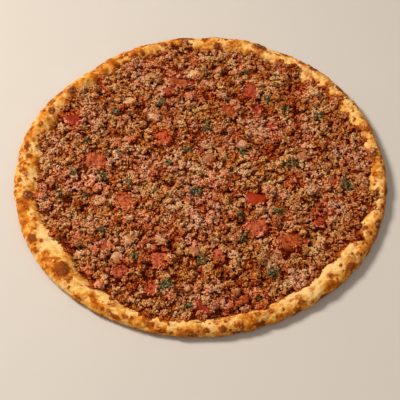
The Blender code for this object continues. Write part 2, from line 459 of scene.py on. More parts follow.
def normalsOf(mesh):
    return readAll(mesh.vertex_normals, "vector", width=3).reshape(-1, 3).astype(float)


def moveTo(mesh, places):
    mesh.vertices.foreach_set("co", places.astype(np.float32).ravel())
    mesh.update()


def carry(mesh, name, values):
    # gives the mesh a value at each point, for its material
    mesh.attributes.new(name, "FLOAT", "POINT").data.foreach_set("value", np.asarray(values, np.float32))


def addPiece(name, mesh, material, slot, *nodes):
    piece = addObject(name, mesh)
    mesh.materials.clear()
    mesh.materials.append(material)
    mesh.shade_smooth()
    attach(piece, "root")
    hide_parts(*nodes)


def blisterField(places, blisters):
    # lift and darkness that blisters give to each place
    wobble = 1 + 0.34 * noiseAt(places, 330) + 0.22 * noiseAt(places, 900, 5)
    lift, dark = np.zeros(len(places)), np.zeros(len(places))
    for degrees, radius, along, wide, rise, brown in blisters:
        turn = math.radians(degrees)
        across = (around(rimOuter, turn) - radius * mm) / around(rimWidth, turn)
        away = places - rimPoint(turn, across)
        tangent = np.array([-math.sin(turn), math.cos(turn), 0])
        forward = away @ tangent
        aside = np.linalg.norm(away - forward[:, None] * tangent, axis=1)
        reach = np.hypot(forward / (along * mm), aside / (wide * mm)) * wobble
        lift = np.maximum(lift, rise * mm * np.clip(1 - reach ** 2, 0, 1) ** 1.5)
        # each dark mark is a little lighter at its middle: a painted highlight on the blister's dome
        dark = np.maximum(dark, brown * (smoothStep(1.6, 0.3, reach) - 0.24 * smoothStep(0.55, 0.1, reach)))
    return lift, dark


def randomMarks(count, seed, sizes, darkness):
    # small browned spots anywhere over the rim, in the form that the blisters have
    draw = np.random.default_rng(seed)
    angles = draw.uniform(0, 360, count)
    radii = 150 - 13 * draw.beta(1.2, 1.7, count)
    small = draw.uniform(*sizes, (count, 2))
    return [(a, r, max(pair), min(pair), 0.12 * min(pair), dark)
            for a, r, pair, dark in zip(angles, radii, small, draw.uniform(*darkness, count))]


def makeCrustMesh():
    under, inside = crust["under"], crust["inside"]
    plan = np.array([*under, *rimCurve, *inside])
    mesh = toMesh("crust", turnedDrum(len(plan), crust["steps"], crust["cuts"]))
    drum = placesOf(mesh)
    row = np.round(drum[:, 2]).astype(int)
    angle = np.arctan2(drum[:, 1], drum[:, 0])
    outer, width, height = around(rimOuter, angle), around(rimWidth, angle), around(rimHeight, angle)
    across, share = plan[row, 0], plan[row, 1]
    onRim = (row >= len(under)) & (row < len(under) + len(rimCurve))
    inner = outer - rimShape["slopeReach"] * width
    radius = np.where(onRim, outer - across * width, across * inner)
    lift = np.where(onRim, share * height, share * rimShape["floor"])
    places = np.column_stack([radius * np.cos(angle), radius * np.sin(angle), lift])
    moveTo(mesh, places)
    across = np.where(onRim, across, rimShape["slopeReach"] + 0.05)
    paintCrust(mesh, places, angle, across, *relieve(mesh, places, across))
    mapStrips(mesh, row, len(plan))
    return mesh


def relieve(mesh, places, across):
    # bubbles, humps, blisters and wrinkles; returns the bubbles' tops, how lively they are, and how scorched
    # each place is
    proud = smoothStep(0.6 * mm, 3.5 * mm, places[:, 2]) * smoothStep(1.14, 0.9, across)
    lively = 0.35 + 0.65 * smoothStep(-0.25, 0.35, noiseAt(places, 32, 17))
    tops = [domes(places, lumps) - 0.55 for lumps, size in crust["bubbles"]]
    change = sum(size * mm * top * lively for (lumps, size), top in zip(crust["bubbles"], tops))
    change = change + sum(size * mm * noiseAt(places, lumps, lumps) for lumps, size in crust["humps"])
    small = randomMarks(*crust["specks"]) + randomMarks(*crust["faintSpots"])
    bigLift, bigDark = blisterField(places, crust["blisters"])
    smallLift, smallDark = blisterField(places, small)
    lumps, size = crust["wrinkles"]
    wrinkles = size * mm * noiseAt(places, lumps, 3) * smoothStep(0.35, 0.8, bigDark)
    amount = proud * (change + bigLift + smallLift + wrinkles)
    relieved = places + normalsOf(mesh) * amount[:, None]
    relieved[:, 2] = np.maximum(relieved[:, 2], 0)
    moveTo(mesh, relieved)
    return tops, lively, np.maximum(bigDark, smallDark)


def paintCrust(mesh, places, angle, across, tops, lively, scorch):
    # the values that the material reads
    broad = 0.6 * noiseAt(places, 75, 11) + 0.4 * noiseAt(places, 190, 12)
    pale = swells(angle, crust["paleDough"]) * smoothStep(0.22, 0.5, across) * smoothStep(1.1, 0.92, across)
    low = smoothStep(6 * mm, mm, places[:, 2]) * (across < 0.3)
    edge = smoothStep(0.3, 0.02, across)
    # painted light and shade: on the side turned from the key light the outer edge and low outer side are
    # darker and the rest of the rim paler, while the outer edge on the lit side is paler; the sine term
    # makes the +Y side a little darker
    side = 0.5 + 0.5 * np.cos(angle - math.radians(crust["paintedShadeSide"]))
    toast = 0.44 - 0.22 * side + 0.44 * tops[0] * lively + 0.36 * tops[1] + 0.9 * broad
    toast += (0.52 * side - 0.15) * edge
    toast += 0.35 * low * side + 0.04 * np.sin(angle) - 0.3 * pale + 0.35 * noiseAt(places, 420, 13)
    carry(mesh, "toast", np.clip(toast, 0, 1.2))
    carry(mesh, "pale", np.clip(pale * (0.8 + 0.9 * broad), 0, 1))
    carry(mesh, "scorch", scorch)
    beyond = np.hypot(places[:, 0], places[:, 1]) - around(minceReach, angle)
    spread = 3 + 4.5 * noiseAt(places, 62, 21) + 2.5 * noiseAt(places, 170, 22)
    carry(mesh, "oiled", smoothStep(1, 0, beyond / mm / np.maximum(spread, 0.6)) * (across < 1.19))
    carry(mesh, "under", smoothStep(2.2 * mm, 0.2 * mm, places[:, 2]))


def mapStrips(mesh, row, rows):
    # the rim is laid out as strips one above another, so that the map is as sharp all round
    corners, places = readAll(mesh.loops, "vertex_index", np.int32), placesOf(mesh)
    turn = (np.arctan2(places[:, 1], places[:, 0]) / (2 * math.pi)) % 1
    totals = readAll(mesh.polygons, "loop_total", np.int32)
    face = np.repeat(np.arange(len(totals)), totals)
    solid = np.hypot(places[corners, 0], places[corners, 1]) > 1e-4
    middle = np.zeros(len(totals), complex)
    np.add.at(middle, face, np.exp(2j * math.pi * turn[corners]) * solid)
    middle = (np.angle(middle) / (2 * math.pi)) % 1
    strip = np.minimum((middle * crust["strips"]).astype(int), crust["strips"] - 1)
    offset = (turn[corners] - middle[face] + 0.5) % 1 - 0.5
    along = (middle[face] + np.where(solid, offset, 0)) * crust["strips"] - strip[face]
    up = (strip[face] + 0.03 + 0.94 * row[corners] / (rows - 1)) / crust["strips"]
    layer = mesh.uv_layers.new(name="OFBake")
    layer.data.foreach_set("uv", np.column_stack([np.clip(along, 0, 1), up]).astype(np.float32).ravel())


def crustMaterial():
    material, shader, wire = newMaterial("bakedDough", {"Specular IOR Level": 0.03})
    toast, pale, scorch, oiled, under = wire.values("toast", "pale", "scorch", "oiled", "under")
    broad, fine, grain = wire.spots(170, 4), wire.spots(520, 4), wire.spots(1500, 3)
    level = toast + broad.swing(0.7) + fine.swing(0.85) + grain.swing(0.5)
    colour = level.ramp(crust["doughColours"])
    pale = (pale + fine.swing(0.7) + broad.swing(0.8)).between(0.28, 1.1)
    colour = pale.mix(colour, crust["paleColour"])
    colour = (oiled + broad.swing(1.2)).between(0.35, 1).mix(colour, crust["oiledColour"])
    burnt = scorch + fine.swing(0.75) + grain.swing(0.3) + broad.swing(0.3)
    for start, full, burntColour in crust["scorchColours"]:
        colour = burnt.between(start, full).mix(colour, burntColour)
    # pale flecks on the scorched blisters: partly flaked skin, partly a painted highlight
    flecks = (fine * 0.7 + grain * 0.3).between(0.47, 0.58) * scorch.between(0.42, 0.75)
    colour = (flecks * 0.75).mix(colour, crust["fleckHighlightColour"])
    colour = (0.8 + grain * 0.4).shade(under.mix(colour, crust["undersideColour"]))
    rough = burnt.between(0.3, 0.9) * -0.16 + oiled * -0.12 + 0.56 + fine.swing(0.3)
    grainy = wire.bump(grain * 0.4 + fine * 0.6, mm, 0.9)
    plug(shader, Base_Color=colour, Roughness=rough, Normal=grainy)
    return material


addPiece("crust", makeCrustMesh(), crustMaterial(), "baked_dough", "bread")
print("crust")


# the ground under the mince: the bread's floor, the rim's inner slope and the lower crumbs, painted dark as
# the shade in the gaps between the crumbs
mince = {
    "coreTop": 5.3 * mm,
    "lumps": [(125, 3.4 * mm), (260, 1.6 * mm), (560, 0.5 * mm)],  # clumps and lower crumbs, lumps per metre
    "swell": (45, 0.6 * mm),  # the slow rise and fall of the whole layer
    "hollow": 1.4 * mm,  # depth of the few low places
    "edge": 5 * mm,  # width of the slope at the layer's edge
    "besideDice": 4 * mm,  # how far round a diced piece the ground is eased down
    "belowDice": 4.4 * mm,  # how far under a diced piece's top it lies there
    "coreGrid": 270,
    "coreThickness": 0.6 * mm,  # at its thin edge
    "coreInset": 0.3 * mm,  # how far inside the mince's edge it ends
    "coreLift": 0.1 * mm,  # how far its top lies over the ground
    "coreBottom": 0.4 * mm,  # how far its underside lies over the bread's floor
    "coreShadeColours": [(0.16, 0.012, 0.0004), (0.28, 0.04, 0.002)],
}
ground = {"cell": 0.6 * mm, "half": 151.5 * mm}
gridSide = int(2 * ground["half"] / ground["cell"]) + 1
gridLine = np.linspace(-ground["half"], ground["half"], gridSide)


def toCell(x, y):
    # the map's row and column for a place, as numbers with a fraction
    return (y + ground["half"]) / ground["cell"], (x + ground["half"]) / ground["cell"]


def readMap(heights, x, y):
    # the height at any place, blended from the four cells round it
    row, column = toCell(x, y)
    row, column = np.clip(row, 0, gridSide - 1.001), np.clip(column, 0, gridSide - 1.001)
    r, c = row.astype(int), column.astype(int)
    dr, dc = row - r, column - c
    return ((heights[r, c] * (1 - dc) + heights[r, c + 1] * dc) * (1 - dr)
            + (heights[r + 1, c] * (1 - dc) + heights[r + 1, c + 1] * dc) * dr)


def hollows(places):
    # 1 in the few low places between clumps, 0 elsewhere; the crumbs there are painted darker as shade
    return smoothStep(0.22, 0.5, noiseAt(places, 70, 47))


def easeRoundDice(top, x, y):
    # the ground lies lower beside each diced piece, so that the crumbs do not bury it
    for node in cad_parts:
        if node.split("_")[0] in ("tomato", "onion"):
            low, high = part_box(node)
            middle, half = (low + high) / 2, (high - low) / 2
            reach = mince["besideDice"]
            away = np.hypot((x - middle.x) / (half.x + reach), (y - middle.y) / (half.y + reach))
            top = top - smoothStep(1.1, 0.7, away) * np.maximum(top - high.z + mince["belowDice"], 0)
    return top


def makeGround():
    # the height of each cell, and which cells the mince covers
    x, y = np.meshgrid(gridLine, gridLine)
    radius, angle = np.hypot(x, y), np.arctan2(y, x)
    across = (around(rimOuter, angle) - radius) / around(rimWidth, angle)
    slope = np.interp(across, rimTop[:, 0], rimTop[:, 1]) * around(rimHeight, angle)
    slope = np.where(across > rimShape["slopeReach"], rimShape["floor"], slope)
    heights = np.where(across < 0, 0, slope)
    inside = radius < around(minceReach, angle)
    below = heights[inside]
    flat = np.column_stack([x[inside], y[inside], 0 * x[inside]])
    lumps, size = mince["swell"]
    top = mince["coreTop"] + size * noiseAt(flat, lumps, 7)
    for lumps, size in mince["lumps"]:
        top = top + size * (domes(flat, lumps) - 0.5)
    top = easeRoundDice(top - mince["hollow"] * hollows(flat), flat[:, 0], flat[:, 1])
    depth = smoothStep(0, mince["edge"], around(minceReach, angle)[inside] - radius[inside])
    heights[inside] = below + (np.maximum(top, below) - below) * depth
    return heights, inside


groundMap, covered = makeGround()
pileMap = groundMap.copy()
print("ground:", gridSide, "cells a side")


def makeCoreMesh():
    # a round sheet with the ground's relief on top, closed underneath
    body = bmesh.new()
    side = mince["coreGrid"]
    bmesh.ops.create_grid(body, x_segments=side, y_segments=side, size=1)
    rimEdges = [edge for edge in body.edges if edge.is_boundary]
    skirt = bmesh.ops.extrude_edge_only(body, edges=rimEdges)["geom"]
    low = [part for part in skirt if isinstance(part, bmesh.types.BMVert)]
    bmesh.ops.translate(body, vec=(0, 0, -1), verts=low)
    bmesh.ops.contextual_create(body, geom=[part for part in skirt if isinstance(part, bmesh.types.BMEdge)])
    bmesh.ops.recalc_face_normals(body, faces=body.faces)
    mesh = toMesh("mince_core", body)
    square = placesOf(mesh)
    u, v = square[:, 0], square[:, 1]
    x, y = u * np.sqrt(1 - v * v / 2), v * np.sqrt(1 - u * u / 2)
    angle = np.arctan2(y, x)
    reach = around(minceReach, angle) - mince["coreInset"]
    x, y = x * reach, y * reach
    top = readMap(groundMap, x, y) + mince["coreLift"]
    bottom = np.minimum(top - mince["coreThickness"], rimShape["floor"] + mince["coreBottom"])
    moveTo(mesh, np.column_stack([x, y, np.where(square[:, 2] < -0.5, bottom, top)]))
    return mesh


def coreMaterial():
    material, shader, wire = newMaterial("oilyShadedMinceBase", {"Specular IOR Level": 0.05})
    lumps, fine = wire.spots(240, 3), wire.spots(900, 3)
    # browned mince whose dark colours are painted shade, since this ground shows only in the gaps between
    # crumbs
    colour = (0.7 + fine * 0.6).shade(lumps.between(0.3, 0.7).mix(*mince["coreShadeColours"]))
    plug(shader, Base_Color=colour, Roughness=0.34 + fine * 0.2, Normal=wire.bump(fine, 0.4 * mm, 0.7))
    return material


addPiece("mince_core", makeCoreMesh(), coreMaterial(), "browned_mince", "meat_layer")
print("mince core")


# tomato and onion dice, where the frame has them
dice = {
    "cuts": 9,
    # rounds of softening, growth sideways, rise in mm, humps (lumps per metre, mm), and for each piece how
    # orange, how pulpy and how pale it is, mostly from 0 to 1
    "tomato": {
        "soften": 3, "grow": 1.15, "rise": 0.5, "humps": [(150, 1.6), (330, 1.1), (760, 0.5)],
        "looks": [
            (0.35, 0.05, 0), (0.2, 0.9, 0.8), (0.8, 0.6, 0.5), (0.75, 0.7, 0.4), (0.45, 0.8, 0.6),
            (0.2, 0.5, 1.7), (0.15, 0.9, 1.3), (0.85, 0.5, 0.1), (0.8, 0.6, 0), (0.4, 0.6, 0.3),
            (0.1, 0.4, 0), (0.4, 0.3, 0.1), (0.3, 0.8, 0.5), (0.25, 0.7, 0.2), (0.35, 0.6, 0.3),
            (0.95, 0.5, 0.1), (0.05, 0.5, 0), (0, 0.6, 0.3), (0.9, 0.6, 0.3), (0.15, 0.9, 0.7),
            (0.4, 0.6, 0.3)]},
    "onion": {
        "soften": 4, "grow": 1.1, "rise": 0.4, "humps": [(130, 0.9), (420, 0.4)],
        "looks": [(0, 0.5, pale) for pale in (1, 0.35, 0, 0.5, 1, 0.5, 0.1, 0.4, 0, 0.25, 0)]},
    "tomatoColours": {"red": (0.36, 0.014, 0.002), "orange": (0.44, 0.07, 0.005),
                      "flesh": (0.68, 0.21, 0.06), "foldShade": (0.13, 0.007, 0.001)},
    "onionColours": {"pink": (0.62, 0.3, 0.15), "golden": (0.56, 0.3, 0.095), "browned": (0.35, 0.12, 0.037),
                     "layers": (0.76, 0.48, 0.29), "creases": (0.36, 0.1, 0.018)},
}


def mappedCube(size):
    body = bmesh.new()
    body.loops.layers.uv.new("OFBake")
    bmesh.ops.create_cube(body, size=size, calc_uvs=True)
    return body


def makeDice(node, kind, pulp):
    # a soft, cooked piece in the place of the frame's block: an even ball drawn onto it, then softened
    given = dice[kind]
    block = bmesh.new()
    block.from_mesh(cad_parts[node].data)
    surface = BVHTree.FromBMesh(block)
    block.free()
    low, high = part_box(node)
    middle, size = (low + high) / 2, high - low
    body = mappedCube(1)
    bmesh.ops.subdivide_edges(body, edges=body.edges, cuts=dice["cuts"], use_grid_fill=True)
    for corner in body.verts:
        corner.co = surface.ray_cast(middle, (corner.co * size).normalized())[0]
    for _ in range(given["soften"]):
        bmesh.ops.smooth_vert(body, verts=body.verts, factor=0.5, use_axis_x=True, use_axis_y=True,
                              use_axis_z=True)
    bmesh.ops.recalc_face_normals(body, faces=body.faces)
    mesh = toMesh(node + "_soft", body)
    places, normals, middle = placesOf(mesh), normalsOf(mesh), np.array(middle)
    places = middle + (places - middle) * (given["grow"], given["grow"], 1) + (0, 0, given["rise"] * mm)
    change = sum(height * mm * noiseAt(places, lumps, lumps) for lumps, height in given["humps"])
    moveTo(mesh, places + normals * (change * (0.45 + 0.75 * pulp))[:, None])
    return mesh


def tomatoMaterial():
    material, shader, wire = newMaterial("cookedTomato", {
        "Specular IOR Level": 0.2, "Subsurface Weight": 0.12, "Subsurface Scale": 1.5 * mm,
        "Subsurface Radius": (1, 0.25, 0.1)})
    colours = dice["tomatoColours"]
    orange, pulp, pale = wire.values("orange", "pulp", "pale")
    flesh, fine, grain = wire.spots(420, 3), wire.spots(1100, 3), wire.spots(2600, 2)
    red = (orange + flesh.swing(0.5)).between(0, 1).mix(colours["red"], colours["orange"])
    # paler patches: partly the tomato's pale pulp, partly a painted highlight on the raised pulp
    pulpAndHighlight = (flesh * 0.6 + fine * 0.4 + pulp * 0.16 + pale * 0.1).between(0.54, 0.8)
    colour = (pulpAndHighlight * (0.08 + pulp * 0.48)).mix((0.82 + pale * 0.4).shade(red), colours["flesh"])
    # painted shade: darker in the low folds of the pulp
    foldShade = 0.51 - fine * 0.5 - flesh * 0.5
    colour = (foldShade * (0.4 + pulp)).between(0, 0.11).mix(colour, colours["foldShade"])
    height = fine * 0.6 + grain * 0.4
    plug(shader, Base_Color=(0.8 + grain * 0.4).shade(colour), Roughness=0.16 + pulp * 0.14 + grain * 0.15,
         Normal=wire.bump(height * (0.3 + pulp), 0.9 * mm, 0.9))
    return material


def onionMaterial():
    material, shader, wire = newMaterial("cookedOnion", {
        "Specular IOR Level": 0.35, "Subsurface Weight": 0.3, "Subsurface Scale": 3 * mm,
        "Subsurface Radius": (1, 0.5, 0.25)})
    colours = dice["onionColours"]
    tint, layers, fine, pale = wire.spots(45, 1), wire.spots(420, 2), wire.spots(1300, 2), wire.value("pale")
    cooked = pale.mix(colours["browned"], tint.between(0.4, 0.6).mix(colours["pink"], colours["golden"]))
    layered = layers * 0.6 + fine * 0.4
    # paler layered patches: partly the onion's translucent layers, partly a painted highlight
    colour = (layered.between(0.45, 0.68) * (0.3 + pale * 0.7)).mix(cooked, colours["layers"])
    colour = layered.between(0.5, 0.34).mix(colour, colours["creases"])
    plug(shader, Base_Color=(0.86 + fine * 0.28).shade(colour), Roughness=0.26 + fine * 0.2,
         Normal=wire.bump(fine, 0.35 * mm, 0.7))
    return material


looks = {"tomato": tomatoMaterial(), "onion": onionMaterial()}
outlines = {}  # each diced piece as seen from above
for node in sorted(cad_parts):
    kind = node.split("_")[0]
    if kind in looks:
        look = dice[kind]["looks"][int(node[-2:]) - 1]
        soft = makeDice(node, kind, look[1])
        for name, value in zip(("orange", "pulp", "pale"), look):
            carry(soft, name, np.full(len(soft.vertices), value))
        addPiece(node + "_soft", soft, looks[kind], kind, node)
        flat = [Vector(place[:2]) for place in placesOf(soft)]
        outlines[node] = [flat[i] for i in geometry.convex_hull_2d(flat)]
print("tomato and onion:", len(outlines), "pieces")


# the pile: crumbs and bits fall one by one onto a map of the surface so far
pile = {
    "seed": 11,
    "flat": 0.8,  # half height of a lump, in radii
    "proud": 0.2 * mm,  # how far past the edge the pile may reach
    "inset": 0.3,  # how far inside that a lump's middle stays, in radii
    "sink": 0.28,  # how high its middle lies over what it rests on, in half heights
    "bearing": 0.7,  # share of its footprint that rests on the pile
    "onMean": 0.6,  # how much the mean height under it counts; the highest point counts for the rest
    "farthest": 2.5,  # longest stray past the edge, in usual strays
    "near": 5,  # cells each way in a small patch
    "wide": 13,  # and in a wide one
}


def insideBy(outline, x, y):
    # how far a place is inside an outline that runs anticlockwise; negative outside
    return np.min([((b - a).x * (y - a.y) - (b - a).y * (x - a.x)) / max((b - a).length, 1e-9)
                   for a, b in zip(outline, outline[1:] + outline[:1])], axis=0)


def markDice(kinds):
    # how far each cell is inside a piece of these kinds, in metres: negative outside
    near = np.full(pileMap.shape, -1.0)
    reach = 16  # cells looked at round each piece
    for node, outline in outlines.items():
        if node.split("_")[0] not in kinds:
            continue
        low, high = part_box(node)
        r0, c0 = (int(v) - reach for v in toCell(low.x, low.y))
        r1, c1 = (int(v) + reach for v in toCell(high.x, high.y))
        x, y = np.meshgrid(gridLine[c0:c1], gridLine[r0:r1])
        depth = insideBy(outline, x, y)
        near[r0:r1, c0:c1] = np.maximum(near[r0:r1, c0:c1], depth)
        pileMap[r0:r1, c0:c1][depth > 0] = high.z
    return near


clearance = markDice(("tomato", "onion"))
juice = markDice(("tomato",))
draw = np.random.default_rng(pile["seed"])


def dropOne(radius, tall, tries, overlap, stray):
    # lets one lump fall into the lowest of a few random places
    best = None
    for _ in range(tries):
        angle = draw.uniform(-math.pi, math.pi)
        reach = around(minceReach, angle) + pile["proud"] + stray * min(draw.exponential(), pile["farthest"])
        away = reach * math.sqrt(draw.uniform(0, 1))
        x, y = away * math.cos(angle), away * math.sin(angle)
        row, column = (int(round(v)) for v in toCell(x, y))
        if clearance[row, column] > overlap or away > reach - pile["inset"] * radius:
            continue
        height = pileMap[row, column]
        if best is None or height < best[0]:
            best = (height, x, y)
    return best and settle(best[1], best[2], radius, tall)


def settle(x, y, radius, tall):
    # rests a lump on what is under it, and adds it to the pile
    row, column = (int(round(v)) for v in toCell(x, y))
    cells = int(radius / ground["cell"]) + 1
    rows = slice(max(row - cells, 0), row + cells + 1)
    columns = slice(max(column - cells, 0), column + cells + 1)
    window = pileMap[rows, columns]
    gx, gy = np.meshgrid(gridLine[columns] - x, gridLine[rows] - y)
    share = (gx * gx + gy * gy) / radius ** 2
    under = window[share < pile["bearing"]]
    if not len(under):
        under = window
    middle = pile["onMean"] * under.mean() + (1 - pile["onMean"]) * under.max() + pile["sink"] * tall
    dome = middle + tall * np.sqrt(np.clip(1 - share, 0, 1))
    np.maximum(window, np.where(share < 1, dome, 0), out=window)
    return x, y, middle


def dropMany(radii, tries, overlap, stray, foot):
    # foot: how much wider than its radius a lump lies
    landed = []
    for radius in radii:
        where = dropOne(foot * radius, pile["flat"] * radius, tries, overlap, stray)
        if where:
            landed.append((*where, radius))
    return np.array(landed)


def sizesAbout(count, middle, spread, low, high):
    return np.clip(middle * np.exp(draw.normal(0, spread, count)), low, high) * mm


def shiftOf(seed):
    # where in the noise a shape is read
    return Vector((seed * 7.3, seed * 3.1, seed * 1.7))


def lumpShape(seed, cuts, stretch, rough, craggy, bend):
    # a rough lump of a few dozen faces, about 1 in radius
    body, shift = mappedCube(2), shiftOf(seed)
    bmesh.ops.subdivide_edges(body, edges=body.edges, cuts=cuts, use_grid_fill=True)
    for corner in body.verts:
        way = corner.co.normalized()
        push = 1 + rough * noise.noise(way * 1.1 + shift) + 0.6 * rough * noise.noise(way * 2.6 + shift)
        corner.co = (0.28 * corner.co + 0.65 * way) * (push + craggy * noise.noise(corner.co * 9.7 + shift))
        corner.co.x *= stretch
        corner.co.z += bend * (corner.co.x ** 2 - 0.4)
    return shapeOf(body)


def shapeOf(body):
    # corners, faces and map of a small shape, for joining many copies of it
    bmesh.ops.recalc_face_normals(body, faces=body.faces)
    body.verts.index_update()
    layer = body.loops.layers.uv.active
    corners = np.array([corner.co for corner in body.verts])
    faces = np.array([[loop.vert.index for loop in face.loops] for face in body.faces])
    places = np.array([[loop[layer].uv for loop in face.loops] for face in body.faces])
    body.free()
    return corners, faces, places


def randomTurns(count, lean):
    # rotation matrices spread evenly, or about the upright where lean is small
    spin = draw.uniform(0, 2 * math.pi, count)
    tip = lean * np.arccos(draw.uniform(-1, 1, count))
    way = draw.uniform(0, 2 * math.pi, count)
    zero, one = np.zeros(count), np.ones(count)

    def upright(angle):
        sine, cosine = np.sin(angle), np.cos(angle)
        return np.array([[cosine, -sine, zero], [sine, cosine, zero], [zero, zero, one]]).transpose(2, 0, 1)

    tilt = np.array([[np.cos(tip), zero, np.sin(tip)], [zero, one, zero], [-np.sin(tip), zero, np.cos(tip)]])
    return upright(way) @ tilt.transpose(2, 0, 1) @ upright(spin)


def joinCopies(name, shapes, lot, turns, scales, squash=0.85):
    # one mesh of many small shapes; each copy has a square of the map to itself
    count = len(lot)
    pick = draw.integers(0, len(shapes), count)
    corners = np.array([shape[0] for shape in shapes])[pick] * (lot[:, 3:4] * scales)[:, None, :]
    corners = np.einsum("nij,nkj->nki", turns, corners)
    corners[:, :, 2] *= squash
    corners += lot[:, None, :3]
    faces = shapes[0][1]
    step = corners.shape[1]
    allFaces = (faces[None] + step * np.arange(count)[:, None, None]).reshape(-1, faces.shape[1])
    mesh = bpy.data.meshes.new(name)
    mesh.from_pydata(corners.reshape(-1, 3).tolist(), [], allFaces.tolist())
    across = math.ceil(math.sqrt(count))
    square = np.stack([np.arange(count) % across, np.arange(count) // across], 1)
    margin = 0.04
    places = (square[:, None, None, :] + margin + (1 - 2 * margin) * shapes[0][2][None]) / across
    mesh.uv_layers.new(name="OFBake").data.foreach_set("uv", places.astype(np.float32).ravel())
    return mesh, step


def carryEach(mesh, name, values, step):
    # one value for each copy
    carry(mesh, name, np.repeat(values, step))


# what falls, and in which order
crumbs = {
    # kind: how many, middle radius in mm, spread, smallest, largest, places tried, how far it may come over
    # a diced piece and stray past the edge, both mm, and how much wider it lies than its radius
    "coarse": (1350, 2.15, 0.18, 1.5, 3, 1, 0.4, 0, 1),
    "medium": (3500, 1.36, 0.2, 0.85, 2, 1, 0.5, 0.4, 1),
    "strands_a": (2700, 0.84, 0.16, 0.6, 1.2, 1, 0.4, 0.8, 1.4),
    "strands_b": (2700, 0.78, 0.18, 0.5, 1.1, 1, 0.5, 1, 1.4),
    "fine": (8900, 0.74, 0.24, 0.45, 1.15, 1, 0.9, 1.5, 1),
    "tomato_bits": (150, 1.8, 0.28, 1.1, 3, 5, 0.7, 0, 1),
    "onion_bits": (70, 1.75, 0.25, 1.2, 2.8, 5, 0.7, 0, 1),
    "herbs": (130, 0.95, 0.3, 0.5, 1.6, 3, 0.7, 0, 1),
    "strands_c": (5200, 0.62, 0.2, 0.42, 0.95, 1, 0.9, 1.2, 1.3),
    # which share of each kind falls when
    "order": [
        ("coarse", 1), ("medium", 0.6), ("tomato_bits", 0.5), ("onion_bits", 0.5), ("strands_a", 0.5),
        ("medium", 0.4), ("tomato_bits", 0.5), ("onion_bits", 0.5), ("herbs", 0.35), ("strands_a", 0.5),
        ("fine", 0.5), ("strands_b", 1), ("fine", 0.5), ("herbs", 0.65), ("strands_c", 1)],
    "shapes": 14,
    "rough": 0.8,
    # first seed, cuts, how much longer some are, how craggy, how bent
    "lumps": {"coarse": (0, 2, 0.25, 0.55, 0.1), "medium": (40, 1, 0.35, 0.6, 0.2)},
}


def dropAll():
    fallen = {}
    for kind, share in crumbs["order"]:
        count, middle, spread, low, high, tries, over, stray, foot = crumbs[kind]
        radii = sizesAbout(int(count * share), middle, spread, low, high)
        fallen.setdefault(kind, []).append(dropMany(radii, tries, over * mm, stray * mm, foot))
    return {kind: np.vstack(lots) for kind, lots in fallen.items()}


def boxBlur(heights, reach):
    # mean height over a square patch
    total = np.cumsum(np.cumsum(np.pad(heights, reach + 1, mode="edge"), 0), 1)
    side = 2 * reach + 1
    return (total[side:, side:] - total[:-side, side:] - total[side:, :-side]
            + total[:-side, :-side])[:gridSide, :gridSide] / side ** 2


fallen = dropAll()
nearMap, wideMap = boxBlur(pileMap, pile["near"]), boxBlur(pileMap, pile["wide"])
print("pile: mean top", round(float(pileMap[covered].mean() / mm), 2), "mm, highest",
      round(float(pileMap[covered].max() / mm), 2))


# how the crumbs' colour changes over the pile
crumbLook = {
    # mean, waves across the pile (lumps per metre, size, which noise), and how much single crumbs differ
    "tone": (0.7, [(60, 0.24, 41), (110, 0.28, 42), (220, 0.28, 48)], 0.07),
    "warm": (0.45, [(42, 0.55, 43), (120, 0.6, 44)], 0.03),
    "cool": (0.5, [(36, 0.55, 45), (105, 0.6, 46)], 0),
    "onRim": (0.26, -2 * mm, 3 * mm),  # how much darker the crumbs on the rim are, from where to where
    "shadeInHollow": 0.25,  # and, as painted shade, those in the low places
    "juicy": (0.3, -4.5 * mm, 0),  # how much warmer they are beside tomato, from where to where
    # painted shade: darker below the mean height of a small and of a wide patch, where shade falls between
    # crumbs: how much, from where to where
    "shadeBelowNear": (0.7, -0.9 * mm, 1.5 * mm),
    "shadeBelowWide": (0.4, -0.5 * mm, 3 * mm),
    "underside": 0.65,  # painted shade on the faces that look down, and painted light on those that look up
    "ramp": [(0.02, (0.2, 0.0085, 0.0001)), (0.28, (0.37, 0.049, 0.002)), (0.54, (0.57, 0.153, 0.031)),
             (0.76, (0.73, 0.305, 0.128)), (1, (0.87, 0.51, 0.31))],
    "warmTints": [(1.12, 0.78, 0.74), (0.95, 1.03, 0.85)],  # at most warm, at least warm
    "coolTints": [(1, 1.04, 0.76), (1, 0.955, 1.08)],  # at least cool, at most cool
}


def crumbMaterial():
    material, shader, wire = newMaterial("brownedMince", {"Specular IOR Level": 0.03})
    tone, warm, cool, sunk = wire.values("tone", "warm", "cool", "sunk")
    blotch, fine, grain = wire.spots(420, 3), wire.spots(1000, 3), wire.spots(2400, 2)
    ridge = 1 - wire.maths("ABSOLUTE", wire.spots(560, 1) - 0.5) * 5
    # sunk makes crevices and down-facing faces darker as painted shade, and up-facing faces paler as painted
    # light
    level = tone + blotch.swing(0.4) + fine.swing(1) + ridge.swing(0.35) - sunk * 0.48
    tint = warm.between(0.5, 1).mix((1, 1, 1), crumbLook["warmTints"][0])
    tint = warm.between(0.5, 0).mix(tint, crumbLook["warmTints"][1])
    hue = cool.between(0, 1).mix(*crumbLook["coolTints"])
    colour = level.ramp(crumbLook["ramp"]).tinted(tint.tinted(hue))
    height = fine * 0.4 + grain * 0.2 + ridge * 0.25
    plug(shader, Base_Color=colour, Roughness=0.62 - fine * 0.35, Normal=wire.bump(height, 2.4 * mm, 1))
    return material


def grainShape(seed):
    # a small faceted grain about 1 in radius
    body, shift = bmesh.new(), shiftOf(seed)
    body.loops.layers.uv.new("OFBake")
    bmesh.ops.create_icosphere(body, subdivisions=1, radius=1, calc_uvs=True)
    for corner in body.verts:
        corner.co *= 1.05 + 0.75 * noise.noise(corner.co * 1.9 + shift)
        corner.co.x *= 1 + 0.2 * (seed % 4)
    return shapeOf(body)


